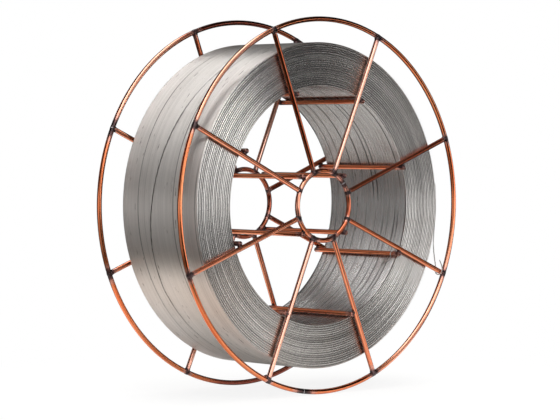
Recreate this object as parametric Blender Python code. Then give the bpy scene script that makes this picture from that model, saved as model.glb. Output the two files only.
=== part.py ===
"""A full wire-basket spool of stainless MIG welding wire, standing on its two rims.

The basket is welded from one gauge of copper-coated steel wire. Each flange is a rim, a hub ring
and eight spokes butt-welded between them. Eight drum bars, each seated against the side of a
front spoke and a rear spoke, carry the wound wire, and four hub bars join the hub rings.

Metres, +Z up. The axis of the spool runs along Y, with the front flange at -Y. The origin is on
the floor, under the middle of the spool.
"""

import math

import bmesh
import bpy
from mathutils import Matrix, Vector

# Driving dimensions of the basket
rim_diameter = 0.300            # over the wire of the rims
bore_diameter = 0.0515          # inside the hub rings
flange_width = 0.1028           # over the two rims
basket_wire = 0.0040            # thickness of every wire of the basket
rear_hub_set_in = 0.0034        # the rear hub ring stands this much nearer than its rim
weld_gap = 0.0003               # between two wires that are welded together

# Angles are seen from the front, anticlockwise from +X. The spokes are set by hand in the
# welding jig, so they are a degree or two off an even spacing.
front_spoke_angles = (21.0, 66.0, 111.0, 154.5, 200.0, 246.5, 292.0, 336.5)
rear_spoke_angles = (21.0, 65.5, 110.0, 155.5, 201.0, 246.5, 292.0, 336.5)
hub_bar_angles = (47.0, 134.0, 224.0, 316.5)

# Driving dimensions of the wound wire
rim_margin = 0.0202             # from the outside of the rims in to the last layer
winding_depth = 0.0348          # from the first layer out to the last
winding_slack = 0.0024          # room left between the winding and the rear spokes
wire_seat = 0.0003              # between the winding and what it lies on
welding_wire = 0.0010           # thickness of the wire on the spool

# Where turns of the last and of the first layer have parted, from the middle of the width
last_layer_partings = (-0.0185, 0.0030, 0.0245)
first_layer_partings = (-0.0130, 0.0028)

# The free end of the wire hooks round this spoke of the front flange, near the rim
hooked_spoke = 8
tail_run = 0.070                # along the last layer, up to the hook
hook_reach = 0.0065             # from the middle of the rim's wire in to the hook
stub_length = 0.0080            # what stands up past the hook

# The inner end of the wire turns once round the drum bar beside the same spoke
start_run = 0.0140              # forward along the first layer, up to the bar
start_stub = 0.0040             # what pokes out past the winding

# Fineness of the round shapes
rim_steps = 96
hub_steps = 40
ring_sides = 8
bar_sides = 12
winding_steps = 44
tail_sides = 6

# Worked out from the above
wire_radius = basket_wire / 2
rim_radius = rim_diameter / 2 - wire_radius
hub_radius = bore_diameter / 2 + wire_radius
flange_plane = flange_width / 2 - wire_radius
rear_hub_plane = flange_plane - rear_hub_set_in
lap = basket_wire + weld_gap
hub_bar_radius = hub_radius + lap
cope_radius = wire_radius + weld_gap
winding_radius = rim_diameter / 2 - rim_margin
winding_bore = winding_radius - winding_depth
drum_bar_radius = winding_bore - wire_seat - wire_radius
winding_front = -flange_plane + wire_radius + wire_seat
tail_radius = welding_wire / 2
tail_clear = wire_radius + tail_radius + wire_seat
axle_height = rim_diameter / 2 * math.cos(math.pi / rim_steps)

# The turns nest in those under them, so every second layer reaches the flange: one ridge each
ridge_count = max(1, round(winding_depth / (math.sqrt(3) * welding_wire)))
ridge_pitch = winding_depth / ridge_count
parting_depth = welding_wire * 0.7
parting_width = welding_wire * 1.2
ridge_height = welding_wire / 2


def clear_scene():
    for thing in list(bpy.data.objects):
        bpy.data.objects.remove(thing, do_unlink=True)


def make_material(name, colour, roughness, metallic):
    material = bpy.data.materials.new(name)
    material.use_nodes = True
    shader = material.node_tree.nodes["Principled BSDF"]
    shader.inputs["Base Color"].default_value = (*colour, 1.0)
    shader.inputs["Roughness"].default_value = roughness
    shader.inputs["Metallic"].default_value = metallic
    return material


def make_object(name, bm, material, crease_degrees=40):
    """Turns a bmesh into an object with smooth round sides and crisp cut ends."""
    bmesh.ops.recalc_face_normals(bm, faces=bm.faces)
    mesh = bpy.data.meshes.new(name)
    bm.to_mesh(mesh)
    bm.free()
    mesh.shade_smooth()
    mesh.set_sharp_from_angle(angle=math.radians(crease_degrees))
    mesh.materials.append(material)
    thing = bpy.data.objects.new(name, mesh)
    bpy.context.scene.collection.objects.link(thing)
    return thing


def on_flange(radius, degrees, y):
    """The point at a radius and an angle from the spool's axis."""
    angle = math.radians(degrees)
    return Vector((radius * math.cos(angle), y, axle_height + radius * math.sin(angle)))


def spin_round_axis(bm, steps):
    """Spins all of a profile in the XY plane about Y, with a flat of the polygon at the bottom."""
    half_step = Matrix.Rotation(math.pi / steps, 4, "Y")
    bmesh.ops.transform(bm, matrix=half_step, verts=bm.verts)
    bmesh.ops.spin(
        bm, geom=bm.verts[:] + bm.edges[:], axis=(0, 1, 0), cent=(0, 0, 0),
        angle=2 * math.pi, steps=steps, use_merge=True,
    )
    bmesh.ops.remove_doubles(bm, verts=bm.verts, dist=1e-6)


def make_ring(name, radius, y, steps, material):
    """A round of basket wire, closed on itself."""
    bm = bmesh.new()
    bmesh.ops.create_circle(bm, segments=ring_sides, radius=wire_radius)
    bmesh.ops.translate(bm, vec=(radius, 0, 0), verts=bm.verts)
    spin_round_axis(bm, steps)
    ring = make_object(name, bm, material)
    ring.location = (0, y, axle_height)
    return ring


def wire_blank(length):
    """A straight wire along +X whose end faces are cut into strips, so that they can be coped."""
    bm = bmesh.new()
    bmesh.ops.create_circle(bm, segments=bar_sides, radius=wire_radius, cap_ends=True)
    turn = Matrix.Rotation(math.pi / 2, 4, "Y") @ Matrix.Rotation(math.pi / bar_sides, 4, "Z")
    bmesh.ops.transform(bm, matrix=turn, verts=bm.verts)
    swept = bmesh.ops.extrude_face_region(bm, geom=bm.faces[:], use_keep_orig=True)
    far_end = [item for item in swept["geom"] if isinstance(item, bmesh.types.BMVert)]
    bmesh.ops.translate(bm, vec=(length, 0, 0), verts=far_end)
    return bm


def cope_end(bm, x, towards):
    """Draws back the end at x to fit the round wire whose middle is there."""
    end = [v for v in bm.verts if abs(v.co.x - x) < 1e-7]
    rows = {}
    for v in end:
        rows.setdefault(round(v.co.y, 6), []).append(v)
    for pair in rows.values():
        if len(pair) == 2 and not any(e.other_vert(pair[0]) is pair[1] for e in pair[0].link_edges):
            bmesh.ops.connect_verts(bm, verts=pair)
    for v in end:
        v.co.x = x - towards * math.sqrt(cope_radius ** 2 - v.co.y ** 2)


def make_spoke(name, start, end, material):
    """A spoke from the middle of the hub ring's wire to the middle of the rim's, coped to both."""
    run = end - start
    bm = wire_blank(run.length)
    cope_end(bm, 0.0, -1)
    cope_end(bm, run.length, 1)
    spoke = make_object(name, bm, material)
    spoke.matrix_world = frame_along(start, run)
    return spoke


def make_bar(name, start, end, material):
    """A straight wire with plain cut ends."""
    run = end - start
    bar = make_object(name, wire_blank(run.length), material)
    bar.matrix_world = frame_along(start, run)
    return bar


def frame_along(start, run):
    """Local X along the run, with local Y as near to the spool's axis as it can be."""
    x = run.normalized()
    aside = Vector((0, 1, 0)) if abs(x.y) < 0.9 else Vector((0, 0, 1))
    z = x.cross(aside).normalized()
    y = z.cross(x)
    turn = Matrix((x, y, z)).transposed().to_4x4()
    return Matrix.Translation(start) @ turn


def rear_spoke_plane(radius):
    """How far back the middle of a rear spoke lies at a radius, because the flange is dished."""
    share = (radius - hub_radius) / (rim_radius - hub_radius)
    return rear_hub_plane + (flange_plane - rear_hub_plane) * share


def beside_spoke(degrees):
    """The angle at which a drum bar lies against the clockwise side of a spoke."""
    return degrees - math.degrees(math.asin(lap / drum_bar_radius))


def make_flange(side, y_rim, y_hub, angles, material):
    make_ring(f"{side}_rim", rim_radius, y_rim, rim_steps, material)
    make_ring(f"{side}_hub_ring", hub_radius, y_hub, hub_steps, material)
    for number, degrees in enumerate(angles, 1):
        inner = on_flange(hub_radius, degrees, y_hub)
        outer = on_flange(rim_radius, degrees, y_rim)
        make_spoke(f"{side}_spoke_{number}", inner, outer, material)


def make_bars(material):
    """The eight drum bars and four hub bars, cut flush with the outer faces of the flanges."""
    front_end = -flange_plane - wire_radius
    drum_rear_end = rear_spoke_plane(drum_bar_radius) + wire_radius
    hub_rear_end = rear_hub_plane + wire_radius
    for number, (front, rear) in enumerate(zip(front_spoke_angles, rear_spoke_angles), 1):
        start = on_flange(drum_bar_radius, beside_spoke(front), front_end)
        end = on_flange(drum_bar_radius, beside_spoke(rear), drum_rear_end)
        make_bar(f"drum_bar_{number}", start, end, material)
    for number, degrees in enumerate(hub_bar_angles, 1):
        start = on_flange(hub_bar_radius, degrees, front_end)
        end = on_flange(hub_bar_radius, degrees, hub_rear_end)
        make_bar(f"hub_bar_{number}", start, end, material)


def winding_profile():
    """Half the section of the wound wire: radius and place along the axis.

    Its ends are ridged by the turns, and its outside and bore are furrowed where turns part.
    """
    rear = rear_spoke_plane(winding_bore) - wire_radius - winding_slack
    points = []
    for ridge in range(ridge_count):
        inner = winding_bore + ridge_pitch * ridge
        points.append((inner, winding_front + ridge_height))
        points.append((inner + ridge_pitch / 2, winding_front))
    points.append((winding_radius, winding_front + ridge_height))
    for place in last_layer_partings:
        points.append((winding_radius, place - parting_width / 2))
        points.append((winding_radius - parting_depth, place))
        points.append((winding_radius, place + parting_width / 2))
    points.append((winding_radius, rear - ridge_height))
    for ridge in reversed(range(ridge_count)):
        inner = winding_bore + ridge_pitch * ridge
        points.append((inner + ridge_pitch / 2, rear))
        points.append((inner, rear - ridge_height))
    for place in reversed(first_layer_partings):
        points.append((winding_bore, place + parting_width / 2))
        points.append((winding_bore + parting_depth, place))
        points.append((winding_bore, place - parting_width / 2))
    return points


def make_winding(material):
    """One turned solid. Its bore is widened so that the flats of the polygon clear the bars."""
    bm = bmesh.new()
    flat_to_corner = math.cos(math.pi / winding_steps)
    profile = []
    for radius, y in winding_profile():
        if radius < winding_bore + 1e-6:
            radius = winding_bore / flat_to_corner
        profile.append(bm.verts.new((radius, y, 0)))
    for first, second in zip(profile, profile[1:] + profile[:1]):
        bm.edges.new((first, second))
    spin_round_axis(bm, winding_steps)
    winding = make_object("wire_winding", bm, material, crease_degrees=60)
    winding.location = (0, 0, axle_height)
    return winding


def wire_end_route():
    """The wire's free end: off the last layer, down behind the hooked spoke, round it and up."""
    spoke = front_spoke_angles[hooked_spoke - 1]
    lying = winding_radius + wire_seat + tail_radius
    hook = rim_radius - hook_reach
    rise = hook - lying
    front = -flange_plane - tail_clear
    behind = -flange_plane + tail_clear
    last_layer = behind + welding_wire

    def at(radius, along_rim, y):
        return on_flange(radius, spoke + math.degrees(along_rim / radius), y)

    return [
        at(lying, tail_run, last_layer),
        at(lying, 0.71 * tail_run, last_layer),
        at(lying, 0.49 * tail_run, last_layer),
        at(lying + 0.15 * rise, 0.30 * tail_run, last_layer),
        at(lying + 0.42 * rise, 0.17 * tail_run, behind + 0.4 * welding_wire),
        at(lying + 0.80 * rise, 0.06 * tail_run, behind),
        at(hook, 0.0, behind),
        at(hook + 0.10 * hook_reach, -0.75 * tail_clear, -flange_plane + 0.80 * tail_clear),
        at(hook + 0.15 * hook_reach, -1.12 * tail_clear, -flange_plane),
        at(hook + 0.20 * hook_reach, -0.75 * tail_clear, -flange_plane - 0.80 * tail_clear),
        at(hook + 0.24 * hook_reach, 0.0, front),
        at(hook + 0.18 * hook_reach, 0.30 * stub_length, front),
        at(hook - 0.18 * hook_reach, 0.65 * stub_length, front),
        at(hook - 0.65 * hook_reach, stub_length, front + 0.05 * stub_length),
    ]


def wire_start_route():
    """The wire's inner end: forward on the first layer, round the drum bar, out past the winding."""
    spoke = front_spoke_angles[hooked_spoke - 1]
    bar = beside_spoke(spoke)
    lying = winding_bore - wire_seat - tail_radius

    def beside_bar(across, depth):
        return on_flange(lying, bar + math.degrees(across / lying), winding_front + depth)

    def round_bar(turned, depth):
        middle = on_flange(drum_bar_radius, bar, winding_front + depth)
        direction = math.radians(bar + turned)
        return middle + tail_clear * Vector((math.cos(direction), 0, math.sin(direction)))

    past_spoke = lap + 1.2 * tail_clear
    return [
        beside_bar(-3.2 * tail_clear, start_run),
        beside_bar(-2.8 * tail_clear, 0.80 * start_run),
        beside_bar(-2.1 * tail_clear, 0.58 * start_run),
        round_bar(-76, 0.40 * start_run),
        round_bar(-125, 0.30 * start_run),
        round_bar(180, 0.23 * start_run),
        round_bar(125, 0.17 * start_run),
        round_bar(76, 0.11 * start_run),
        beside_bar(past_spoke - 0.2 * tail_clear, 0.2 * start_stub),
        beside_bar(past_spoke, -0.4 * start_stub),
        beside_bar(past_spoke + 0.2 * tail_clear, -start_stub),
    ]


def make_bent_wire(name, route, material):
    """A thin round wire through the points of a route."""
    curve = bpy.data.curves.new(name, "CURVE")
    curve.dimensions = "3D"
    curve.bevel_depth = tail_radius
    curve.bevel_resolution = (tail_sides - 4) // 2
    curve.use_fill_caps = True
    points = smooth_through(route, steps=3)
    spline = curve.splines.new("POLY")
    spline.points.add(len(points) - 1)
    for slot, point in zip(spline.points, points):
        slot.co = (*point, 1.0)
    curve.materials.append(material)
    thing = bpy.data.objects.new(name, curve)
    bpy.context.scene.collection.objects.link(thing)
    return thing


def smooth_through(points, steps):
    """Reads points off a smooth curve that passes through the route's own points."""
    padded = [2 * points[0] - points[1], *points, 2 * points[-1] - points[-2]]
    smooth = []
    for a, b, c, d in zip(padded, padded[1:], padded[2:], padded[3:]):
        for step in range(steps):
            t = step / steps
            smooth.append(0.5 * (
                2 * b + (c - a) * t + (2 * a - 5 * b + 4 * c - d) * t ** 2
                + (3 * b - a - 3 * c + d) * t ** 3
            ))
    smooth.append(points[-1])
    return smooth


def main():
    clear_scene()
    copper = make_material("copper_coated_wire", (0.50, 0.17, 0.07), 0.28, 1.0)
    stainless = make_material("stainless_wire", (0.56, 0.55, 0.53), 0.34, 1.0)
    make_flange("front", -flange_plane, -flange_plane, front_spoke_angles, copper)
    make_flange("rear", flange_plane, rear_hub_plane, rear_spoke_angles, copper)
    make_bars(copper)
    make_winding(stainless)
    make_bent_wire("wire_end", wire_end_route(), stainless)
    make_bent_wire("wire_start", wire_start_route(), stainless)


main()
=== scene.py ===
"""The looks of a full wire-basket spool of stainless welding wire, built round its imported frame.

Metres, +Z up. The spool's axis runs along Y with the front flange at -Y, and it stands on its two
rims. Angles round the axis are seen from the front, anticlockwise from +X, in degrees.
"""

import math

import bmesh
import bpy
import numpy as np
from mathutils import Matrix, Vector, noise


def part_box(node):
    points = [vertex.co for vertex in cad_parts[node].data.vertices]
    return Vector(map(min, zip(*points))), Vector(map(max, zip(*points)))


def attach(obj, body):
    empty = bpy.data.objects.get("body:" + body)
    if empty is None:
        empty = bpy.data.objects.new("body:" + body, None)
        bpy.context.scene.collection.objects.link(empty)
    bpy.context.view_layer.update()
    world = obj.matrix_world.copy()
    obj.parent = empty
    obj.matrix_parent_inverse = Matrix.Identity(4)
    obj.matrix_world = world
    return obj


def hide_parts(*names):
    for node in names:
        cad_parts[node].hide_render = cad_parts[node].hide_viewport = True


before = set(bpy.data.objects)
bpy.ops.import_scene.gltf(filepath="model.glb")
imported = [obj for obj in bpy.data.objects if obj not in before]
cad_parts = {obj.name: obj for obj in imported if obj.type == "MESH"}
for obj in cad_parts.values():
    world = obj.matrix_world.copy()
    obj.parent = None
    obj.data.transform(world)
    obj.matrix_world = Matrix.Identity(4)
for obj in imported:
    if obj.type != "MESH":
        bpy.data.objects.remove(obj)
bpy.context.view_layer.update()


# Measures taken from the frame

def mesh_points(mesh):
    """The places of a mesh's points, a row for each."""
    places = np.zeros(len(mesh.vertices) * 3)
    mesh.vertices.foreach_get("co", places)
    return places.reshape(-1, 3)


def node_points(node):
    return mesh_points(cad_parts[node].data)


def reach_of(node):
    """The least and greatest distance of a node's surface from the spool's axis."""
    points = node_points(node)
    distance = np.hypot(points[:, 0], points[:, 2] - axle_height)
    return distance.min(), distance.max()


def run_of(node):
    """The two ends of a straight wire's middle line, the one nearer the spool's axis first."""
    points = node_points(node)
    middle = points.mean(0)
    along = np.linalg.svd(points - middle, full_matrices=False)[2][0]
    share = (points - middle) @ along
    ends = [Vector(middle + along * share.min()), Vector(middle + along * share.max())]
    return sorted(ends, key=lambda p: (round(math.hypot(p.x, p.z - axle_height), 3), p.y))


def plane_of(node):
    """Where the middle of a ring lies along the spool's axis."""
    low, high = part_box(node)
    return (low.y + high.y) / 2


rim_low, rim_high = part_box("front_rim")
axle_height = (rim_low.z + rim_high.z) / 2
wire_radius = (rim_high.y - rim_low.y) / 2
rim_radius = (rim_high.x - rim_low.x) / 2 - wire_radius
hub_radius = reach_of("front_hub_ring")[1] - wire_radius
front_plane, rear_plane = plane_of("front_rim"), plane_of("rear_rim")
front_hub_plane, rear_hub_plane = plane_of("front_hub_ring"), plane_of("rear_hub_ring")
winding_bore, winding_radius = reach_of("wire_winding")
winding_front, winding_rear = (corner.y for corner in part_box("wire_winding"))
spoke_count = 8
hub_bar_count = 4

# The welding wire and how it is wound
welding_wire = 0.0010
turn_radius = welding_wire / 2
layer_count = 40
layer_pitch = (winding_radius - winding_bore - welding_wire) / (layer_count - 1)


def round_axis(radius, degrees, y):
    """A point at a radius and an angle round the spool's axis."""
    angle = math.radians(degrees)
    return Vector((radius * math.cos(angle), y, axle_height + radius * math.sin(angle)))


def degrees_of(point):
    return math.degrees(math.atan2(point.z - axle_height, point.x)) % 360


# Camera: low and well back, to the left of the front flange

camera_azimuth = math.radians(-41.91)
camera_elevation = math.radians(1.78)
camera_distance = 2.070
camera_lens = 164.63
# How far to the right of the spool's middle it aims, and how far over it
aim_right = -0.00137
aim_up = -0.00467


def make_camera():
    back = Vector((
        math.sin(camera_azimuth) * math.cos(camera_elevation),
        -math.cos(camera_azimuth) * math.cos(camera_elevation),
        math.sin(camera_elevation),
    ))
    right = Vector((math.cos(camera_azimuth), math.sin(camera_azimuth), 0))
    up = back.cross(right)
    camera = bpy.data.objects.new("camera", bpy.data.cameras.new("camera"))
    camera.data.sensor_width = 36
    camera.data.lens = camera_lens
    camera.data.clip_start = 0.05
    camera.data.clip_end = 50
    middle = Vector((0, 0, axle_height))
    camera.location = middle + back * camera_distance + right * aim_right + up * aim_up
    camera.rotation_mode = "QUATERNION"
    camera.rotation_quaternion = (-back).to_track_quat("-Z", "Y")
    bpy.context.scene.collection.objects.link(camera)
    bpy.context.scene.camera = camera


# Finishes

class Signal:
    """An output socket, so that shader maths is written as expressions."""

    def __init__(self, tree, socket):
        self.tree = tree
        self.socket = socket

    def maths(self, operation, *values, clamp=False):
        settings = {"operation": operation, "use_clamp": clamp}
        return self.tree.node("Math", settings, dict(enumerate(values)))

    def __add__(self, other):
        return self.maths("ADD", self, other)

    __radd__ = __add__

    def __sub__(self, other):
        return self.maths("SUBTRACT", self, other)

    def __rsub__(self, other):
        return self.maths("SUBTRACT", other, self)

    def __mul__(self, other):
        return self.maths("MULTIPLY", self, other)

    __rmul__ = __mul__

    def __pow__(self, other):
        return self.maths("POWER", self, other)

    def clamped(self):
        return self.maths("ADD", self, 0.0, clamp=True)

    def larger(self, other):
        return self.maths("MAXIMUM", self, other)

    def between(self, low, high):
        """0 below low and 1 above high, with a soft step between; high may be the lower one."""
        settings = {"interpolation_type": "SMOOTHSTEP"}
        values = {"Value": self, "From Min": low, "From Max": high}
        return self.tree.node("MapRange", settings, values)

    def scaled(self, amounts):
        """A vector with each part times its amount."""
        return self.tree.node("VectorMath", {"operation": "MULTIPLY"}, {0: self, 1: amounts})

    def along(self, direction):
        """How far a vector reaches along a direction."""
        settings = {"operation": "DOT_PRODUCT"}
        return self.tree.node("VectorMath", settings, {0: self, 1: direction}, "Value")


class NodeTree:
    """The nodes of a material or of the world."""

    def __init__(self, owner):
        owner.use_nodes = True
        self.nodes = owner.node_tree.nodes
        self.links = owner.node_tree.links

    def feed(self, socket, value):
        if isinstance(value, Signal):
            self.links.new(value.socket, socket)
        else:
            socket.default_value = value

    def node(self, kind, settings=None, inputs=None, output=0):
        """Adds a node: its settings first, then the values or links of its sockets."""
        made = self.nodes.new("ShaderNode" + kind)
        for name, value in (settings or {}).items():
            setattr(made, name, value)
        for name, value in (inputs or {}).items():
            self.feed(made.inputs[name], value)
        return Signal(self, made.outputs[output])

    def colours(self, share, first, second):
        """The first colour where share is 0 and the second where it is 1."""
        first, second = ((*c, 1) if isinstance(c, tuple) else c for c in (first, second))
        return self.node("Mix", {"data_type": "RGBA"}, {0: share, 6: first, 7: second}, 2)

    def attribute(self, name, output="Fac"):
        return self.node("Attribute", {"attribute_name": name}, output=output)

    def place(self):
        return self.node("TexCoord", output="Object")

    def distance(self, point):
        """How far the place is from a point."""
        values = {0: self.place(), 1: point}
        return self.node("VectorMath", {"operation": "DISTANCE"}, values, "Value")

    def cloud(self, vector, detail, roughness):
        """Soft noise from 0 to 1 with one lump for each unit of the vector."""
        values = {"Vector": vector, "Scale": 1.0, "Detail": detail, "Roughness": roughness}
        return self.node("TexNoise", None, values)

    def camera_ray(self):
        return self.node("LightPath", output="Is Camera Ray")

    def mirrored_ray(self):
        """1 for the rays by which metal and glass show what is round them."""
        glossy = self.node("LightPath", output="Is Glossy Ray")
        return glossy.larger(self.node("LightPath", output="Is Transmission Ray"))


class Finish(NodeTree):
    """A material built on one Principled shader."""

    def __init__(self, name, metallic=1.0):
        self.material = bpy.data.materials.new(name)
        super().__init__(self.material)
        self.shader = self.nodes["Principled BSDF"]
        self.set("Metallic", metallic)

    def set(self, socket, value):
        if isinstance(value, tuple):
            value = (*value, 1)
        self.feed(self.shader.inputs[socket], value)

    def bump(self, height, depth):
        values = {"Height": height, "Distance": depth, "Strength": 1.0}
        self.set("Normal", self.node("Bump", None, values))


# Copper in full, lighter in patches, drawn lines, rubbed, painted shade and painted highlights
copper_tones = (0.78, 0.175, 0.045), (0.82, 0.25, 0.09)
drawn_copper, rubbed_copper = (0.40, 0.065, 0.018), (0.88, 0.50, 0.34)
# The colours of the painted shade and of the painted highlights
painted_shade_copper, painted_highlight_copper = (0.30, 0.050, 0.020), (0.90, 0.52, 0.41)
# Its colours beside a weld, from the farthest to the nearest
warmed, scorched, burnt = (0.62, 0.31, 0.25), (0.12, 0.055, 0.052), (0.028, 0.018, 0.018)


def copper_coated():
    """Drawn steel wire thinly coated with copper, heat-tinted beside its welds, with painted light.
    """
    finish = Finish("copper_coated")
    grain = finish.attribute("grain", "Vector")
    heat = finish.attribute("weld_heat")
    painted_highlight = finish.attribute("painted_highlight")
    painted_shade = finish.attribute("painted_shade")
    drawn = finish.cloud(grain.scaled((22, 1500, 1500)), 2, 0.5)
    worn = finish.cloud(grain.scaled((55, 420, 420)), 4, 0.65)
    patchy = finish.cloud(grain.scaled((16, 90, 90)), 3, 0.55)
    colour = finish.colours(patchy.between(0.35, 0.68), *copper_tones)
    colour = finish.colours(drawn.between(0.56, 0.78) * 0.22, colour, drawn_copper)
    colour = finish.colours(worn.between(0.62, 0.80) * 0.30, colour, rubbed_copper)
    # Painted shade: dark copper where the wire lies in shade
    colour = finish.colours(painted_shade, colour, painted_shade_copper)
    # Painted highlights: pale copper where the strong light reflects
    colour = finish.colours((painted_highlight * (0.55 + worn * 0.5)).clamped(), colour, painted_highlight_copper)
    edge = (heat + (worn - 0.5) * 0.5).clamped()
    colour = finish.colours(edge.between(0.14, 0.40) * 0.75, colour, warmed)
    colour = finish.colours(edge.between(0.44, 0.68), colour, scorched)
    colour = finish.colours(edge.between(0.64, 0.88), colour, burnt)
    finish.set("Base Color", colour)
    finish.set("Roughness", 0.11 + drawn * 0.05 + patchy * 0.04 + edge * 0.20)
    finish.set("Coat Weight", 0.7 - edge * 0.5)
    finish.set("Coat IOR", 1.6)
    finish.set("Coat Roughness", 0.09)
    return finish.material


def weld_metal(name, dark, glazed, bright):
    """The lumpy upset metal of a weld: dark, glazed in patches, with bright specks."""
    finish = Finish(name)
    place = finish.place()
    lumps = finish.cloud(place.scaled((900, 900, 900)), 4, 0.6)
    glaze = finish.cloud(place.scaled((330, 330, 330)), 3, 0.6)
    colour = finish.colours(glaze.between(0.38, 0.66), dark, glazed)
    colour = finish.colours(lumps.between(0.58, 0.74), colour, bright)
    finish.set("Base Color", colour)
    finish.set("Roughness", 0.20 + lumps * 0.22)
    finish.set("Coat Weight", 0.6)
    finish.bump(lumps, 0.0004)
    return finish.material


# The winding's drawn lines, bright and stained patches, small marks, and painted shade in the
# furrows between turns
drawn_steel, bright_steel = (0.36, 0.345, 0.33), (0.72, 0.70, 0.675)
stained_steel, marked_steel = (0.52, 0.475, 0.43), (0.10, 0.075, 0.06)
furrow_shade_steel = (0.05, 0.047, 0.044)


def stainless(name, tones, marked, roughness, furrow_shade_share):
    """Bright drawn stainless wire: each turn has a tone between two, and the furrows get painted
    shade.
    """
    finish = Finish(name)
    place = finish.place()
    tone = finish.attribute("tone")
    furrow = finish.attribute("furrow")
    turned = finish.attribute("turned", "Vector")
    streak = finish.cloud(turned.scaled((9, 1500, 1500)), 2, 0.5)
    broad = finish.cloud(turned.scaled((5, 130, 130)), 3, 0.55)
    stain = finish.cloud(place.scaled((38, 38, 38)), 3, 0.55)
    colour = finish.colours(tone, *tones)
    colour = finish.colours(streak.between(0.50, 0.74) * 0.22, colour, drawn_steel)
    colour = finish.colours(broad.between(0.55, 0.72) * 0.20, colour, bright_steel)
    colour = finish.colours(stain.between(0.55, 0.72) * 0.20, colour, stained_steel)
    marks = finish.cloud(turned.scaled((110, 1100, 1100)), 1, 0.4)
    colour = finish.colours(marks.between(0.735, 0.775) * marked, colour, marked_steel)
    # Painted shade in the furrows and in the gaps where turns part
    colour = finish.colours(furrow ** 1.5 * furrow_shade_share, colour, furrow_shade_steel)
    finish.set("Base Color", colour)
    finish.set("Roughness", streak * 0.07 + furrow * 0.10 + roughness)
    return finish.material


def stainless_end():
    """The bare stainless wire where it leaves the winding."""
    finish = Finish("stainless_wire_end")
    drawn = finish.cloud(finish.place().scaled((1400, 1400, 260)), 3, 0.6)
    colour = finish.colours(drawn.between(0.35, 0.70), (0.44, 0.43, 0.42), (0.68, 0.67, 0.65))
    finish.set("Base Color", colour)
    finish.set("Roughness", 0.22 + drawn * 0.12)
    finish.bump(drawn, 0.00003)
    return finish.material


# Shapes

merge_distance = 1e-6


def add_piece(name, bm, material, stands_for=(), crease_degrees=50):
    """Makes a finished piece of the spool from a bmesh whose points are in their place."""
    bmesh.ops.recalc_face_normals(bm, faces=bm.faces)
    mesh = bpy.data.meshes.new(name)
    bm.to_mesh(mesh)
    bm.free()
    mesh.shade_smooth()
    mesh.set_sharp_from_angle(angle=math.radians(crease_degrees))
    mesh.materials.append(material)
    piece = bpy.data.objects.new(name, mesh)
    bpy.context.scene.collection.objects.link(piece)
    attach(piece, "root")
    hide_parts(*stands_for)
    return piece


def set_attribute(mesh, name, values):
    """Writes a number or a vector for each point of a mesh."""
    values = np.asarray(values, np.float32)
    kind, field = ("FLOAT", "value") if values.ndim == 1 else ("FLOAT_VECTOR", "vector")
    mesh.attributes.new(name, kind, "POINT").data.foreach_set(field, values.ravel())


def spin_round(bm, steps):
    """Spins all that a bmesh holds once round the Y axis."""
    bmesh.ops.spin(
        bm, geom=bm.verts[:] + bm.edges[:], axis=(0, -1, 0), cent=(0, 0, 0),
        angle=2 * math.pi, steps=steps, use_merge=True,
    )
    bmesh.ops.remove_doubles(bm, verts=bm.verts, dist=merge_distance)


def share_at(degrees, arcs):
    """How much of a look shows round a ring: arcs hold degrees and the share at each."""
    rise = np.interp(degrees % 360, *arcs)
    return rise * rise * (3 - 2 * rise)


def heat_at(points, welds):
    """1 at a weld, falling to 0 at its spread. welds hold each one's place and spread."""
    heat = np.zeros(len(points))
    for place, spread in welds:
        distance = np.linalg.norm(points - np.array(place), axis=1)
        heat = np.maximum(heat, 1 - distance / spread)
    return heat


ring_sides, wire_sides = 16, 20
# The length of a straight wire's facets, and the rounding of its cut ends
wire_step = 0.0025
cut_rounding = 0.0004
# How far from a weld its heat coloured the wire
joint_spread = 0.0088
butt_spread = 0.0170
nugget_radius = wire_radius * 1.10
rear_nugget_radius = wire_radius * 0.97
# How far a spoke runs into the wire of its rings
spoke_run_in = 0.001
# How much nearer to the winding the drum bars are drawn than they are packed
bar_seat = 0.00022
# Painted highlights, pale, and painted shade, dark, round a ring: degrees, and the share at each
rim_painted_highlight = (0, 104, 122, 148, 168, 286, 306, 340, 360), (0, 0, 0.6, 0.6, 0, 0, 0.5, 0.5, 0)
hub_painted_highlight = (100, 130, 190, 220), (0, 0.5, 0.5, 0)
painted_light_arcs = {
    "front_rim_wire": {"painted_highlight": rim_painted_highlight, "painted_shade": ((60, 75, 95, 110), (0, 0.4, 0.4, 0))},
    "rear_rim_wire": {
        "painted_highlight": rim_painted_highlight,
        "painted_shade": ((60, 80, 110, 122, 252, 262, 290, 305), (0, 0.85, 0.85, 0, 0, 0.9, 0.9, 0)),
    },
    "front_hub_ring_wire": {
        "painted_highlight": hub_painted_highlight,
        "painted_shade": (
            (0, 30, 60, 110, 150, 200, 300, 340, 360),
            (0.6, 0.4, 0.4, 0, 0, 0.35, 0.45, 0.6, 0.6),
        ),
    },
    "rear_hub_ring_wire": {"painted_highlight": hub_painted_highlight, "painted_shade": ((0, 40, 320, 360), (0.8, 0.6, 0.6, 0.8))},
}
# The same painted highlights and painted shade for whole spokes, by number, on both flanges
painted_highlight_spokes = {2: 1.0, 6: 0.9, 4: 0.25, 5: 0.2, 7: 0.2}
painted_shade_spokes = {1: 0.6, 3: 0.45, 8: 0.3}


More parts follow.
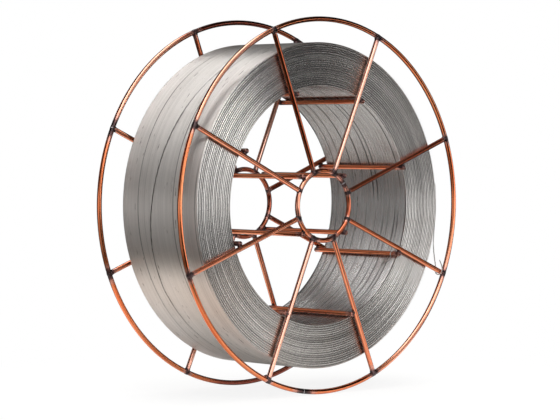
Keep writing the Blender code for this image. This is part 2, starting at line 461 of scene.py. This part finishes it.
def make_ring(name, radius, y, seam, welds, steps, material):
    """A round of basket wire. Its own butt weld is at the seam, where the grain starts."""
    bm = bmesh.new()
    bmesh.ops.create_circle(bm, segments=ring_sides, radius=wire_radius)
    bmesh.ops.translate(bm, vec=(radius, 0, 0), verts=bm.verts)
    turn = Matrix.Rotation(-math.radians(seam), 4, "Y")
    bmesh.ops.transform(bm, matrix=turn, verts=bm.verts)
    spin_round(bm, steps)
    bmesh.ops.translate(bm, vec=(0, y, axle_height), verts=bm.verts)
    ring = add_piece(name, bm, material, [name.replace("_wire", "")])
    points = mesh_points(ring.data)
    x, z = points[:, 0], points[:, 2] - axle_height
    turned = np.mod(np.arctan2(z, x) - math.radians(seam) + 1e-4, 2 * math.pi)
    grain = np.stack([turned * radius, np.hypot(x, z) - radius, points[:, 1] - y], -1)
    set_attribute(ring.data, "grain", grain)
    set_attribute(ring.data, "weld_heat", heat_at(points, welds))
    degrees = np.degrees(np.arctan2(z, x))
    for look, arcs in painted_light_arcs[name].items():
        set_attribute(ring.data, look, share_at(degrees, arcs))


def make_wire(
    name, start, end, welds, number, material, stands_for, painted_highlight=0.0, painted_shade=0.0, inner_side=None
):
    """A straight basket wire with slightly rounded cut ends. Its number sets its grain.

    Its inner side, the direction to the winding, gets painted shade.
    """
    run = end - start
    bm = bmesh.new()
    bmesh.ops.create_cone(
        bm, cap_ends=True, segments=wire_sides, radius1=wire_radius, radius2=wire_radius,
        depth=run.length,
    )
    cut_edges = [e for e in bm.edges if abs(e.verts[0].co.z - e.verts[1].co.z) < merge_distance]
    bmesh.ops.bevel(
        bm, geom=cut_edges, offset=cut_rounding, offset_type="OFFSET", segments=2, profile=0.5,
        affect="EDGES", material=-1,
    )
    sides = [e for e in bm.edges if abs(e.verts[0].co.z - e.verts[1].co.z) > run.length / 2]
    cuts = round(run.length / wire_step)
    bmesh.ops.subdivide_edges(bm, edges=sides, cuts=cuts, use_grid_fill=True)
    local = np.array([v.co for v in bm.verts])
    turn = run.to_track_quat("Z", "Y").to_matrix().to_4x4()
    place = Matrix.Translation((start + end) / 2) @ turn
    bmesh.ops.transform(bm, matrix=place, verts=bm.verts)
    wire = add_piece(name, bm, material, stands_for)
    grain = np.stack([local[:, 2] + number * 0.41, local[:, 0], local[:, 1]], -1)
    set_attribute(wire.data, "grain", grain)
    set_attribute(wire.data, "weld_heat", heat_at(mesh_points(wire.data), welds))
    set_attribute(wire.data, "painted_highlight", np.full(len(local), painted_highlight))
    shade_share = np.full(len(local), painted_shade)
    # Painted shade on the side that faces the winding
    if inner_side is not None:
        facing = (mesh_points(wire.data) - np.array(start)) @ np.array(inner_side) / wire_radius
        shade_share = np.maximum(shade_share, np.clip(facing, 0, 0.9))
    set_attribute(wire.data, "painted_shade", shade_share)


def add_nugget(bm, place, directions, sizes, seed, lumpiness=0.00020):
    """A lump of upset weld metal, with its half-lengths along three directions."""
    made = bmesh.ops.create_icosphere(bm, subdivisions=3, radius=1.0)
    axes = Matrix([tuple(d) for d in directions]).transposed().to_4x4()
    scale = Matrix.Diagonal((*sizes, 1))
    bmesh.ops.transform(bm, matrix=axes @ scale, verts=made["verts"])
    for vert in made["verts"]:
        lump = noise.noise(vert.co * 900 + Vector((seed, seed * 3.7, 0)))
        vert.co += vert.co.normalized() * lump * lumpiness
    bmesh.ops.translate(bm, vec=place, verts=made["verts"])


# The basket

rim_steps = 384
hub_steps = 128
# Where the rings' own butt welds are, in degrees
front_rim_seam = 261.5
rear_rim_seam = 155.5
front_hub_seam = 40.0
rear_hub_seam = 300.0


def make_flange(side, y_rim, y_hub, rim_seam, hub_seam, copper, weld, ground):
    """A rim, a hub ring and their spokes, with the welds of each ring in one piece."""
    runs = [run_of(f"{side}_spoke_{n}") for n in range(1, spoke_count + 1)]
    y_axis = Vector((0, 1, 0))
    rim_welds, hub_welds = [], []
    rim_beads, hub_beads = bmesh.new(), bmesh.new()
    fore_radius = nugget_radius if side == "front" else rear_nugget_radius
    for number, (inner, outer) in enumerate(runs, 1):
        out = (outer - inner).normalized()
        across = out.cross(y_axis).normalized()
        fore = across.cross(out)
        at_rim = round_axis(rim_radius, degrees_of(outer), y_rim)
        at_hub = round_axis(hub_radius, degrees_of(inner), y_hub)
        rim_heat = joint_spread * (1 + 0.30 * math.sin(number * 2.3 + y_rim * 50))
        hub_heat = joint_spread * (0.8 + 0.25 * math.sin(number * 1.7 + y_rim * 50))
        rim_welds.append((at_rim, rim_heat))
        hub_welds.append((at_hub, hub_heat))
        # Two lumps a joint, on the ring and on the spoke's end: length along the spoke and width
        for beads, place, length, width, seed in (
            (rim_beads, at_rim, nugget_radius, 0.0046, 10),
            (rim_beads, outer - out * 0.0004, 0.0028, 0.0026, 20),
            (hub_beads, at_hub, nugget_radius, 0.0036, 40),
            (hub_beads, inner + out * 0.0002, 0.0022, 0.0025, 50),
        ):
            sizes = (length, width, fore_radius)
            add_nugget(beads, place, (out, across, fore), sizes, number + seed)
        welds = [(at_rim, rim_heat), (at_hub, hub_heat)]
        make_wire(
            f"{side}_spoke_wire_{number}", inner - out * spoke_run_in,
            outer + out * spoke_run_in, welds,
            number + (20 if side == "rear" else 0), copper, [f"{side}_spoke_{number}"],
            painted_highlight_spokes.get(number, 0.0), painted_shade_spokes.get(number, 0.0),
            y_axis if side == "front" else -y_axis,
        )
    butt_beads = bmesh.new()
    for radius, y, seam in ((rim_radius, y_rim, rim_seam), (hub_radius, y_hub, hub_seam)):
        place = round_axis(radius, seam, y)
        out = (place - Vector((0, y, axle_height))).normalized()
        sizes = (0.0012, wire_radius * 1.06, wire_radius * (1.04 if side == "front" else 0.98))
        add_nugget(butt_beads, place, (out.cross(y_axis), out, y_axis), sizes, seam, 0.0001)
    add_piece(f"{side}_butt_welds", butt_beads, ground)
    rim_welds.append((round_axis(rim_radius, rim_seam, y_rim), butt_spread))
    hub_welds.append((round_axis(hub_radius, hub_seam, y_hub), butt_spread * 0.6))
    make_ring(f"{side}_rim_wire", rim_radius, y_rim, rim_seam, rim_welds, rim_steps, copper)
    make_ring(f"{side}_hub_ring_wire", hub_radius, y_hub, hub_seam, hub_welds, hub_steps, copper)
    add_piece(f"{side}_rim_welds", rim_beads, weld)
    add_piece(f"{side}_hub_welds", hub_beads, weld)


def make_bars(copper, weld):
    """The drum bars beside the spokes and the hub bars beside the hub rings."""
    beads = bmesh.new()
    y_axis = Vector((0, 1, 0))
    for number in range(1, spoke_count + 1):
        front, rear = sorted(run_of(f"drum_bar_{number}"), key=lambda p: p.y)
        seat = Vector((front.x, 0, front.z - axle_height)).normalized() * bar_seat
        front, rear = front + seat, rear + seat
        welds = []
        for end, side in ((front, "front"), (rear, "rear")):
            inner, outer = run_of(f"{side}_spoke_{number}")
            along = (outer - inner).normalized()
            beside = inner + along * (end - inner).dot(along)
            over = Vector((0, wire_radius if side == "front" else -wire_radius, 0))
            joint = (end + over + beside) / 2
            across = beside - joint
            across.y = 0
            across = across.normalized()
            welds.append((joint, joint_spread))
            out = across.cross(y_axis)
            add_nugget(beads, joint, (across, out, y_axis), (0.0012, 0.0016, 0.0021), number + 70)
        make_wire(
            f"drum_bar_wire_{number}", front, rear, welds, number + 50, copper,
            [f"drum_bar_{number}"], inner_side=seat.normalized(),
        )
    for number in range(1, hub_bar_count + 1):
        front, rear = sorted(run_of(f"hub_bar_{number}"), key=lambda p: p.y)
        welds = []
        for end, y in ((front, front_hub_plane), (rear, rear_hub_plane)):
            degrees = degrees_of(end)
            joint = round_axis(hub_radius + wire_radius, degrees, y)
            out = (joint - Vector((0, y, axle_height))).normalized()
            welds.append((joint, joint_spread))
            add_nugget(
                beads, joint, (out, out.cross(y_axis), y_axis), (0.0011, 0.0016, 0.0019),
                number + 90,
            )
        make_wire(
            f"hub_bar_wire_{number}", front, rear, welds, number + 70, copper,
            [f"hub_bar_{number}"],
        )
    add_piece("bar_welds", beads, weld)


# The winding

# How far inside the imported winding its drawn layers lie, and how far a turn of them may stray
last_layer_inset, first_layer_inset = 0.00018, 0.00002
most_stray = 0.00016
# A gap between parted turns: half its width, its depth, and the depth at which its painted shade is
# as dark as a furrow's
gap_half_width, gap_depth, gap_shade_depth = 0.00042, 0.0011, 0.0005
# Where the hidden back of a layer starts and ends, in from the layer's own ends
back_inset = 1.5 * welding_wire
# Facets over a ridge, and round each piece
ridge_steps = 4
outside_steps, bore_steps, end_steps = 216, 180, 240


def turned_mesh(profile, steps):
    """Spins a closed outline of radius and place along the axis."""
    bm = bmesh.new()
    verts = [bm.verts.new((radius, y, 0)) for radius, y in profile]
    for first, second in zip(verts, verts[1:] + verts[:1]):
        bm.edges.new((first, second))
    spin_round(bm, steps)
    return bm


def turn_row(count, pitch, start):
    """Half-round turns side by side: place along the row, and height over the furrows."""
    points = []
    for turn in range(count):
        for step in range(ridge_steps):
            angle = math.pi * step / ridge_steps - math.pi / 2
            place = start + pitch * (turn + 0.5) + pitch / 2 * math.sin(angle)
            points.append((place, pitch / 2 * math.cos(angle)))
    points.append((start + pitch * count, 0.0))
    return points


def drift(turn, angle, turns, sizes, seed):
    """How far each turn of wire strays from its place as it goes round, in slow waves.

    sizes holds the sizes of the waves that come 0, 1, 2 and 3 times in a round.
    """
    chance = np.random.default_rng(seed)
    amount = [chance.normal(0, size, turns + 2) for size in sizes]
    phase = [chance.uniform(0, 2 * math.pi, turns + 2) for size in sizes]

    def stray(number):
        number = np.clip(number, 0, turns + 1)
        waves = enumerate(zip(amount, phase))
        return sum(size[number] * np.cos(k * angle + p[number]) for k, (size, p) in waves)

    low = np.floor(turn - 0.5).astype(int)
    share = turn - 0.5 - low
    return stray(low) * (1 - share) + stray(low + 1) * share


def wound_piece(name, profile, steps, shape, material, painted_shade_below=0.0):
    """A turned piece of the winding. shape moves its points and gives each one's turn and furrow.

    The last argument sets painted shade at the bottom and half as much painted light at the top.
    """
    bm = turned_mesh(profile, steps)
    piece = add_piece(name, bm, material, ["wire_winding"], crease_degrees=62)
    points = mesh_points(piece.data)
    angle = np.arctan2(points[:, 2], points[:, 0])
    radius = np.hypot(points[:, 0], points[:, 2])
    radius, y, turn, furrow = shape(angle, radius, points[:, 1])
    moved = np.stack([radius * np.cos(angle), y, radius * np.sin(angle) + axle_height], -1)
    piece.data.vertices.foreach_set("co", moved.astype(np.float32).ravel())
    piece.data.update()
    turns = int(turn.max()) + 2
    tone = 0.5 + drift(turn, angle, turns, (0.20, 0.12, 0.10), 77)
    # Painted shade at the bottom and painted light at the top
    tone = tone + painted_shade_below * np.sin(angle) * np.where(angle > 0, 0.5, 1)
    set_attribute(piece.data, "tone", np.clip(tone, 0, 1))
    set_attribute(piece.data, "furrow", np.clip(furrow, 0, 1))
    turned = np.stack([np.abs(angle) * winding_radius, radius, y], -1)
    set_attribute(piece.data, "turned", turned)
    return piece


# Where turns part, on the last layer and on the first: degrees, places along the axis in
# millimetres at those degrees, and how strongly
outside_gaps = (
    ((60, 95, 120, 165, 200, 260), (24.0, 24.5, 24.6, 24.2, 24.0, 24.3), 0.55),
    ((100, 130, 150, 165, 180, 195, 210, 225, 240, 255),
     (-17.0, -8.0, -1.6, 2.8, 7.6, 11.8, 13.4, 11.6, 7.8, 4.0), 1.0),
    ((80, 160, 230, 240, 250, 262), (-18.0, -18.6, -18.8, -20.6, -23.6, -27.0), 0.8),
    ((160, 180, 200, 216), (-44.3, -44.6, -44.8, -44.9), 0.4),
)
bore_gaps = (
    ((10, 24, 70, 100), (14.3, 14.2, 15.2, 16.0), 0.6),
    ((10, 24, 70, 100), (2.4, 2.8, 3.8, 4.0), 0.8),
    ((0, 24, 70, 100), (-8.4, -8.0, -7.4, -7.0), 0.8),
    ((0, 24, 70, 100), (-13.2, -12.8, -12.4, -12.0), 0.9),
    ((0, 24, 70, 100), (-40.6, -40.3, -39.9, -39.4), 0.5),
    ((-5, 24, 70, 100), (26.6, 26.3, 25.9, 25.4), 0.35),
    ((-5, 24, 70, 100), (34.4, 34.1, 33.9, 33.4), 0.3),
    ((-90, -60, -20, 0), (29.6, 29.0, 28.6, 28.4), 0.6),
    ((-90, -60, -20, 0), (36.0, 36.4, 36.8, 36.9), 0.4),
    ((-80, -55, -20, 0), (11.0, 11.6, 12.2, 12.4), 0.4),
    ((-80, -50, -20, 0), (2.0, 1.2, 0.8, 0.6), 0.35),
    ((-85, -55, -20, 0), (-9.0, -9.8, -10.6, -10.8), 0.45),
    ((-80, -50, -20, 0), (-18.6, -19.2, -19.8, -20.0), 0.5),
    ((-80, -50, -20, 0), (-24.6, -25.2, -25.4, -25.6), 0.35),
    ((-90, -60, -20, 0), (20.4, 21.0, 21.6, 22.0), 0.8),
    ((-90, -60, -20, 0), (-31.0, -32.0, -32.8, -33.2), 0.7),
    ((-90, -60, -20, 0), (-35.2, -36.0, -36.6, -37.0), 0.7),
)


def part_turns(angle, y, gaps):
    """How deep the gaps between parted turns are at each point. They close at both ends."""
    degrees = np.degrees(angle)
    sunk = np.zeros_like(y)
    for angles, places, strength in gaps:
        turned = np.where(degrees < min(angles) - 1e-9, degrees + 360, degrees)
        middle = np.interp(turned, angles, places) / 1000
        ends = np.clip((turned - angles[0]) / 12, 0, 1) * np.clip((angles[-1] - turned) / 12, 0, 1)
        sunk += strength * ends * gap_depth * np.exp(-(((y - middle) / gap_half_width) ** 2))
    return sunk


def end_fade(y, start, end):
    """0 at the two ends of a layer, whose outermost turns have no furrow on that side."""
    return np.clip(np.minimum(y - start, end - y) / (welding_wire / 2), 0, 1)


def make_outside(material):
    """The last layer, with its turns side by side from flange to flange."""
    start, end = winding_front + turn_radius, winding_rear - turn_radius
    count = round((end - start) / welding_wire)
    pitch = (end - start) / count
    base = winding_radius - turn_radius - last_layer_inset
    row = turn_row(count, pitch, start)
    outline = [(base + height, place) for place, height in row]
    back = base - welding_wire
    outline += [(back, end - back_inset), (back, start + back_inset)]

    def shape(angle, radius, y):
        turn = (y - start) / pitch
        outer = radius > base - turn_radius
        furrow = 1 - (radius - base) / turn_radius
        sunk = part_turns(angle, y, outside_gaps)
        stray = drift(turn, angle, count, (0.00001, 0.000014, 0.000014, 0.00001), 5)
        stray = np.clip(stray, -most_stray, most_stray)
        radius = np.where(outer, radius + stray - sunk, radius)
        # Painted shade in the furrows and in the gaps
        furrow = furrow * 0.50 * end_fade(y, start, end) + sunk / gap_shade_depth
        furrow = np.where(outer, furrow, 1)
        return radius, y, turn, furrow

    return wound_piece("winding_outside", outline, outside_steps, shape, material)


def make_bore(material):
    """The first layer, seen through the basket."""
    start, end = winding_front + turn_radius, winding_rear - turn_radius
    count = round((end - start) / welding_wire)
    pitch = (end - start) / count
    base = winding_bore + turn_radius + first_layer_inset
    row = turn_row(count, pitch, start)
    outline = [(base - height, place) for place, height in row]
    back = base + welding_wire
    outline += [(back, end - back_inset), (back, start + back_inset)]

    def shape(angle, radius, y):
        turn = (y - start) / pitch
        inner = radius < base + turn_radius
        furrow = 1 - (base - radius) / turn_radius
        sunk = part_turns(angle, y, bore_gaps)
        stray = drift(turn, angle, count, (0.00003, 0.00004, 0.00004, 0.00003), 6)
        stray = np.clip(stray, -most_stray, most_stray)
        radius = np.where(inner, radius + np.abs(stray) + sunk, radius)
        # Painted shade in the furrows and in the gaps
        furrow = furrow * 0.62 * end_fade(y, start, end) + sunk / gap_shade_depth
        furrow = np.where(inner, furrow, 1)
        return radius, y, turn, furrow

    return wound_piece("winding_bore", outline, bore_steps, shape, material)


def make_end(name, face, outward, seed, material):
    """One end of the winding: each layer's last turn, every second one proud by half a wire.

    outward is 1 or -1, the way that the end faces along the axis.
    """
    outline = []
    for layer in range(layer_count - 1):
        middle = winding_bore + turn_radius + layer_pitch * layer
        if layer % 2 == 0:
            depth, angles = turn_radius, (-88, -45, 0, 45, 88)
        else:
            depth, angles = welding_wire, (-60, 0, 60)
        for degrees in angles:
            angle = math.radians(degrees)
            place = face - outward * (depth - turn_radius * math.cos(angle))
            outline.append((middle + turn_radius * math.sin(angle), place))
    back = face - outward * 4 * welding_wire
    outline += [(winding_radius - turn_radius, back), (winding_bore + turn_radius, back)]

    def shape(angle, radius, y):
        turn = (radius - winding_bore - turn_radius) / layer_pitch + 0.5
        depth = (face - y) * outward
        shown = depth < 2.5 * welding_wire
        stray = drift(turn, angle, layer_count, (0.00004, 0.00003, 0.00003, 0.00003), seed)
        sway = drift(turn, angle, layer_count, (0.00003, 0.00004, 0.00004, 0.00003), seed + 1)
        sunk = drift(turn, angle, layer_count, (0.00010, 0.00012, 0.00012, 0.00010), seed + 2)
        sunk = np.clip(sunk - 0.00016, 0, 0.00012)
        inward = np.clip(stray + 0.00010, 0.00002, 0.00020) + sunk
        # Painted shade in the furrows, darker on one side of the spool than on the other, and more
        # where turns sink
        shade = 0.58 + drift(turn, angle, layer_count, (0.12, 0.09, 0.06, 0.05), seed + 3)
        shade = shade + 0.38 * np.cos(angle - 1.2)
        furrow = np.where(shown, (depth / 0.00048) ** 2 * shade + sunk * 3500, 1)
        y = np.where(shown, y - outward * inward, y)
        return radius + np.where(shown, sway, 0), y, turn, furrow

    return wound_piece(name, outline, end_steps, shape, material, painted_shade_below=0.42)


def make_winding():
    """The last layer, the first layer and the two ends, which close the winding between them."""
    tones = (0.61, 0.575, 0.545), (0.77, 0.73, 0.695)
    outside = stainless("stainless_outside", tones, 0.8, 0.25, 0.96)
    # The bore's tones are darker than the outside's: painted shade deep in the winding
    tones = (0.54, 0.535, 0.525), (0.70, 0.69, 0.68)
    bore = stainless("stainless_bore", tones, 0.8, 0.22, 0.96)
    # The ends' tones reach far lighter than the outside's: painted light
    tones = (0.46, 0.445, 0.425), (0.95, 0.92, 0.895)
    ends = stainless("stainless_ends", tones, 0.0, 0.16, 0.90)
    make_outside(outside)
    make_bore(bore)
    make_end("winding_front_end", winding_front, -1, 21, ends)
    make_end("winding_rear_end", winding_rear, 1, 31, ends)


def make_wire_ends():
    """The two ends of the wire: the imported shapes, merged and rounded."""
    material = stainless_end()
    for node in ("wire_end", "wire_start"):
        bm = bmesh.new()
        bm.from_mesh(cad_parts[node].data)
        bmesh.ops.remove_doubles(bm, verts=bm.verts, dist=merge_distance)
        piece = add_piece(
            f"stainless_{node}", bm, material, [node], crease_degrees=70
        )
        rounding = piece.modifiers.new("rounding", "SUBSURF")
        rounding.levels = rounding.render_levels = 1


# The studio

def towards(azimuth, elevation):
    """A direction: azimuth in degrees to the right of the camera, elevation over the horizon."""
    turn, rise = camera_azimuth + math.radians(azimuth), math.radians(elevation)
    level = math.cos(rise)
    return Vector((math.sin(turn) * level, -math.cos(turn) * level, math.sin(rise)))


floor_radius = 0.34
floor_colour = (0.86, 0.85, 0.83)
# What metal mirrors of it instead: painted warm light in a patch beside the spool, and painted
# shade on the far floor
painted_warm_light, painted_far_shade = (0.62, 0.49, 0.40), (0.12, 0.11, 0.10)
warm_light_place, warm_light_reach = (-0.16, -0.07, 0.0), 0.11
far_shade_starts, far_shade_full = 0.20, 0.30
# How much of it is white: the background's white to the camera by the spool, and a painted white
# glow in metal
floor_white, mirrored_floor_glow = 0.87, 0.16
glow_full, glow_ends = 0.10, 0.22


def make_floor():
    """A pale plain floor that melts into the white round it and keeps the spool's soft shadow."""
    bm = bmesh.new()
    bmesh.ops.create_circle(bm, segments=96, radius=floor_radius, cap_ends=True)
    mesh = bpy.data.meshes.new("floor")
    bm.to_mesh(mesh)
    bm.free()
    floor = bpy.data.objects.new("floor", mesh)
    bpy.context.scene.collection.objects.link(floor)
    finish = Finish("floor", metallic=0.0)
    finish.set("Roughness", 0.9)
    finish.set("Specular IOR Level", 0.0)
    camera, mirrored = finish.camera_ray(), finish.mirrored_ray()
    from_middle = finish.distance((0, 0, 0))
    rim = from_middle.between(floor_radius * 0.3, floor_radius * 0.97)
    near = finish.distance(warm_light_place).between(warm_light_reach, warm_light_reach * 0.3)
    far = from_middle.between(far_shade_starts, far_shade_full)
    # What metal mirrors of the floor: painted warm light beside the spool, painted shade far out
    colour = finish.colours(mirrored * near, floor_colour, painted_warm_light)
    finish.set("Base Color", finish.colours(mirrored * far, colour, painted_far_shade))
    # A painted white glow near the middle, seen only in metal
    middle = from_middle.between(glow_ends, glow_full)
    seen = camera * (floor_white + (1 - floor_white) * rim)
    share = seen + mirrored * mirrored_floor_glow * middle
    white = finish.node("Emission", None, {"Color": (1, 1, 1, 1), "Strength": 1.0})
    shader = Signal(finish, finish.shader.outputs[0])
    mixed = finish.node("MixShader", None, {0: share, 1: shader, 2: white})
    finish.links.new(mixed.socket, finish.nodes["Material Output"].inputs["Surface"])
    mesh.materials.append(finish.material)


def make_overhead_light():
    """A broad soft light over the spool. Metal mirrors the world's lamps and strips instead.

    Its level is about how bright a white card under it looks.
    """
    size, height, level = 1.6, 1.3, 0.8
    light = bpy.data.lights.new("overhead", "AREA")
    light.shape = "SQUARE"
    light.size = size
    light.energy = level * math.pi * (size ** 2 + 4 * height ** 2)
    lamp = bpy.data.objects.new("overhead", light)
    lamp.location = (0, 0, axle_height + height)
    lamp.visible_glossy = False
    bpy.context.scene.collection.objects.link(lamp)


# What the metal mirrors. All angles are in degrees, and azimuths go to the right of the camera
# Round soft lamps: azimuth, elevation, how far out they fade, how far out they end, radiance
studio_lamps = (
    (35, 17, 8, 20, 2.3),
    (46, 39, 14, 26, 0.9),
    (345, 18, 4, 22, 0.5),
    (247, 22, 6, 26, 0.5),
    (195, 45, 10, 34, 0.18),
)
# Level soft strips: azimuth, half-width, elevation, half-height, softness, radiance
studio_strips = (
    (74, 40, -0.5, 1.5, 4, 2.8),
    (322, 34, -1, 5, 6, 0.95),
    (308, 50, -16, 7, 6, 0.36),
)
# A narrow light that arches up over the spool on the camera's side, to just past the zenith
arch_half_width = 5.0
arch_soft = 4.0
arch_starts, arch_full, arch_fades, arch_ends = 0, 55, 103, 115
arch_radiance = 6.8
studio_dark = 0.012
# The part of the white background that the metal mirrors, as a strip behind the spool
mirrored_white = (180, 14, 1, 4, 3, 0.6)


def make_world():
    """The studio round the spool: white to the camera, with soft lamps in it for the metal."""
    world = bpy.data.worlds.new("studio")
    bpy.context.scene.world = world
    sky = NodeTree(world)
    direction = sky.node("TexCoord", output="Generated")
    degree = math.degrees(1)
    ahead, aside = direction.along(towards(0, 0)), direction.along(towards(90, 0))
    height = direction.along((0, 0, 1))
    azimuth = aside.maths("ARCTAN2", aside, ahead) * degree
    elevation = height.maths("ARCSINE", height) * degree

    def strip(turn, half_width, rise, half_height, soft, radiance):
        turned = azimuth.maths("WRAP", azimuth - turn, 180.0, -180.0)
        across = turned.maths("ABSOLUTE", turned).between(half_width + soft, half_width - soft / 2)
        raised = elevation - rise
        over = raised.maths("ABSOLUTE", raised).between(half_height + soft, half_height - soft / 2)
        return across * over * radiance

    level = studio_dark
    for turn, rise, fades, ends, radiance in studio_lamps:
        facing = direction.along(towards(turn, rise))
        near, far = math.cos(math.radians(fades)), math.cos(math.radians(ends))
        level = facing.between(far, near) * radiance + level
    for sizes in studio_strips:
        level = strip(*sizes) + level
    off = aside.maths("ABSOLUTE", aside.maths("ARCSINE", aside) * degree)
    along = height.maths("ARCTAN2", height, ahead) * degree
    arch = off.between(arch_half_width + arch_soft, arch_half_width - arch_soft / 2)
    arch = arch * along.between(arch_starts, arch_full) * along.between(arch_ends, arch_fades)
    level = level + arch * arch_radiance
    white = sky.camera_ray().larger(sky.mirrored_ray() * strip(*mirrored_white))
    background = sky.nodes["Background"].inputs
    sky.feed(background["Color"], sky.colours(white, level, (1.0, 1.0, 1.0)))
    sky.feed(background["Strength"], 1.0)


def main():
    make_camera()
    copper = copper_coated()
    weld = weld_metal("weld_metal", (0.022, 0.012, 0.012), (0.12, 0.065, 0.066), (0.42, 0.33, 0.33))
    ground = weld_metal("ground_weld", (0.40, 0.36, 0.38), (0.62, 0.58, 0.60), (0.80, 0.78, 0.80))
    make_flange(
        "front", front_plane, front_hub_plane, front_rim_seam, front_hub_seam, copper, weld, ground
    )
    make_flange(
        "rear", rear_plane, rear_hub_plane, rear_rim_seam, rear_hub_seam, copper, weld, ground
    )
    make_bars(copper, weld)
    make_winding()
    make_wire_ends()
    make_floor()
    make_overhead_light()
    make_world()
    bpy.context.scene.view_settings.view_transform = "Standard"


main()
